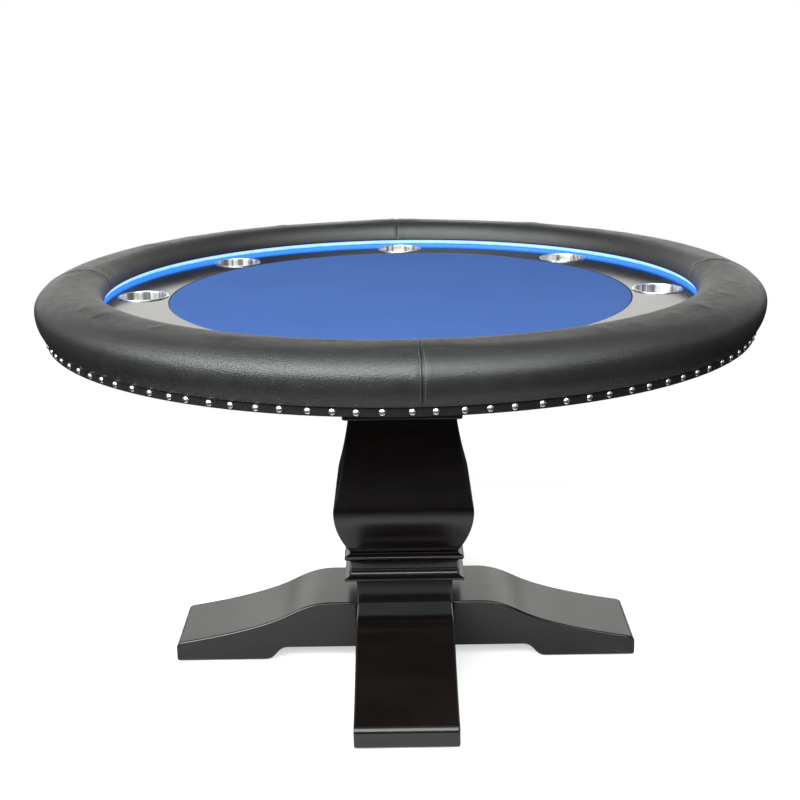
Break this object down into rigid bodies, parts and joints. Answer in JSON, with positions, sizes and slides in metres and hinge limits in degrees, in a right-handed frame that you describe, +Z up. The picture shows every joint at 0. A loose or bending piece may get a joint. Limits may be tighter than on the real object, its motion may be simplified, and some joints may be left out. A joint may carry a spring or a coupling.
{
  "type": "poker table",
  "caption": "Round pedestal poker table: padded leather rail with nail trim, lit inner edge, black racetrack with steel cup holders, blue playing cloth, square vase column and ogee feet.",
  "frame": {"origin": "on the floor, under the middle of the table", "axes": "+Z up; -Y is the side with the front rail seam; the four feet lie along +X, +Y, -X and -Y, and the lighting control box is at +Y"},
  "size_m": [1.397, 1.397, 0.7878],
  "materials": {
    "rail_leather": "satin grained black",
    "rail_foam": "open-cell foam",
    "band_vinyl": "matt black band",
    "black_lacquer": "gloss black lacquer",
    "blue_cloth": "short-pile playing cloth",
    "plywood": "sanded plywood",
    "light_diffuser": "frosted",
    "light_strip": "flexible strip",
    "cup_steel": "polished stainless",
    "zinc_steel": "zinc plated",
    "black_plastic": "fine texture",
    "lead_rubber": "matt",
    "glide_plastic": "nylon"
  },
  "bodies": {
    "table_frame": {"rail_cover": "rail_leather", "rail_foam": "rail_foam", "rail_core": "plywood", "trim_band": "band_vinyl", "table_deck": "plywood", "deck_edge_ring": "plywood", "racetrack": "black_lacquer", "led_diffuser": "light_diffuser", "led_strip": "light_strip", "column_shell": "black_lacquer", "collar_moulding": "black_lacquer", "column_cap": "black_lacquer", "upper_block": "black_lacquer", "top_plate": "black_lacquer", "hub_block": "black_lacquer", "hub_plate": "zinc_steel", "tie_rod": "zinc_steel", "rod_washer": "zinc_steel", "rod_nut_lower": "zinc_steel", "rod_nut_upper": "zinc_steel", "control_case": "black_plastic", "control_lid": "black_plastic", "supply_inlet": "black_plastic", "led_lead": "lead_rubber", "deck_rib_1": "plywood", "rail_bolt_1": "zinc_steel", "plate_bolt_1": "zinc_steel", "deck_rib_2": "plywood", "rail_bolt_2": "zinc_steel", "plate_bolt_2": "zinc_steel", "deck_rib_3": "plywood", "rail_bolt_3": "zinc_steel", "plate_bolt_3": "zinc_steel", "deck_rib_4": "plywood", "rail_bolt_4": "zinc_steel", "plate_bolt_4": "zinc_steel", "foot_right": "black_lacquer", "foot_bolt_right": "zinc_steel", "foot_back": "black_lacquer", "foot_bolt_back": "zinc_steel", "foot_left": "black_lacquer", "foot_bolt_left": "zinc_steel", "foot_front": "black_lacquer", "foot_bolt_front": "zinc_steel"},
    "playing_panel": {"playing_board": "plywood", "playing_foam": "rail_foam", "playing_cloth": "blue_cloth"},
    "cup_1": {"cup_holder_1": "cup_steel"},
    "cup_2": {"cup_holder_2": "cup_steel"},
    "cup_3": {"cup_holder_3": "cup_steel"},
    "cup_4": {"cup_holder_4": "cup_steel"},
    "cup_5": {"cup_holder_5": "cup_steel"},
    "cup_6": {"cup_holder_6": "cup_steel"},
    "cup_7": {"cup_holder_7": "cup_steel"},
    "cup_8": {"cup_holder_8": "cup_steel"},
    "glide_right_body": {"glide_right": "glide_plastic"},
    "glide_back_body": {"glide_back": "glide_plastic"},
    "glide_left_body": {"glide_left": "glide_plastic"},
    "glide_front_body": {"glide_front": "glide_plastic"},
    "light_switch": {"light_button": "black_plastic"}
  },
  "joints": [
    {"name": "playing_panel_lift", "type": "slide", "parent": "table_frame", "child": "playing_panel", "axis": [0, 0, 1], "range_m": [0, 0.09]},
    {"name": "cup_1_lift", "type": "slide", "parent": "table_frame", "child": "cup_1", "axis": [0, 0, 1], "range_m": [0, 0.075]},
    {"name": "cup_2_lift", "type": "slide", "parent": "table_frame", "child": "cup_2", "axis": [0, 0, 1], "range_m": [0, 0.075]},
    {"name": "cup_3_lift", "type": "slide", "parent": "table_frame", "child": "cup_3", "axis": [0, 0, 1], "range_m": [0, 0.075]},
    {"name": "cup_4_lift", "type": "slide", "parent": "table_frame", "child": "cup_4", "axis": [0, 0, 1], "range_m": [0, 0.075]},
    {"name": "cup_5_lift", "type": "slide", "parent": "table_frame", "child": "cup_5", "axis": [0, 0, 1], "range_m": [0, 0.075]},
    {"name": "cup_6_lift", "type": "slide", "parent": "table_frame", "child": "cup_6", "axis": [0, 0, 1], "range_m": [0, 0.075]},
    {"name": "cup_7_lift", "type": "slide", "parent": "table_frame", "child": "cup_7", "axis": [0, 0, 1], "range_m": [0, 0.075]},
    {"name": "cup_8_lift", "type": "slide", "parent": "table_frame", "child": "cup_8", "axis": [0, 0, 1], "range_m": [0, 0.075]},
    {"name": "glide_right_level", "type": "slide", "parent": "table_frame", "child": "glide_right_body", "axis": [0, 0, 1], "range_m": [-0.01, 0]},
    {"name": "glide_back_level", "type": "slide", "parent": "table_frame", "child": "glide_back_body", "axis": [0, 0, 1], "range_m": [-0.01, 0]},
    {"name": "glide_left_level", "type": "slide", "parent": "table_frame", "child": "glide_left_body", "axis": [0, 0, 1], "range_m": [-0.01, 0]},
    {"name": "glide_front_level", "type": "slide", "parent": "table_frame", "child": "glide_front_body", "axis": [0, 0, 1], "range_m": [-0.01, 0]},
    {"name": "light_button_press", "type": "slide", "parent": "table_frame", "child": "light_switch", "axis": [0, 0, 1], "range_m": [0, 0.0015], "stiffness_N_per_m": 400}
  ]
}
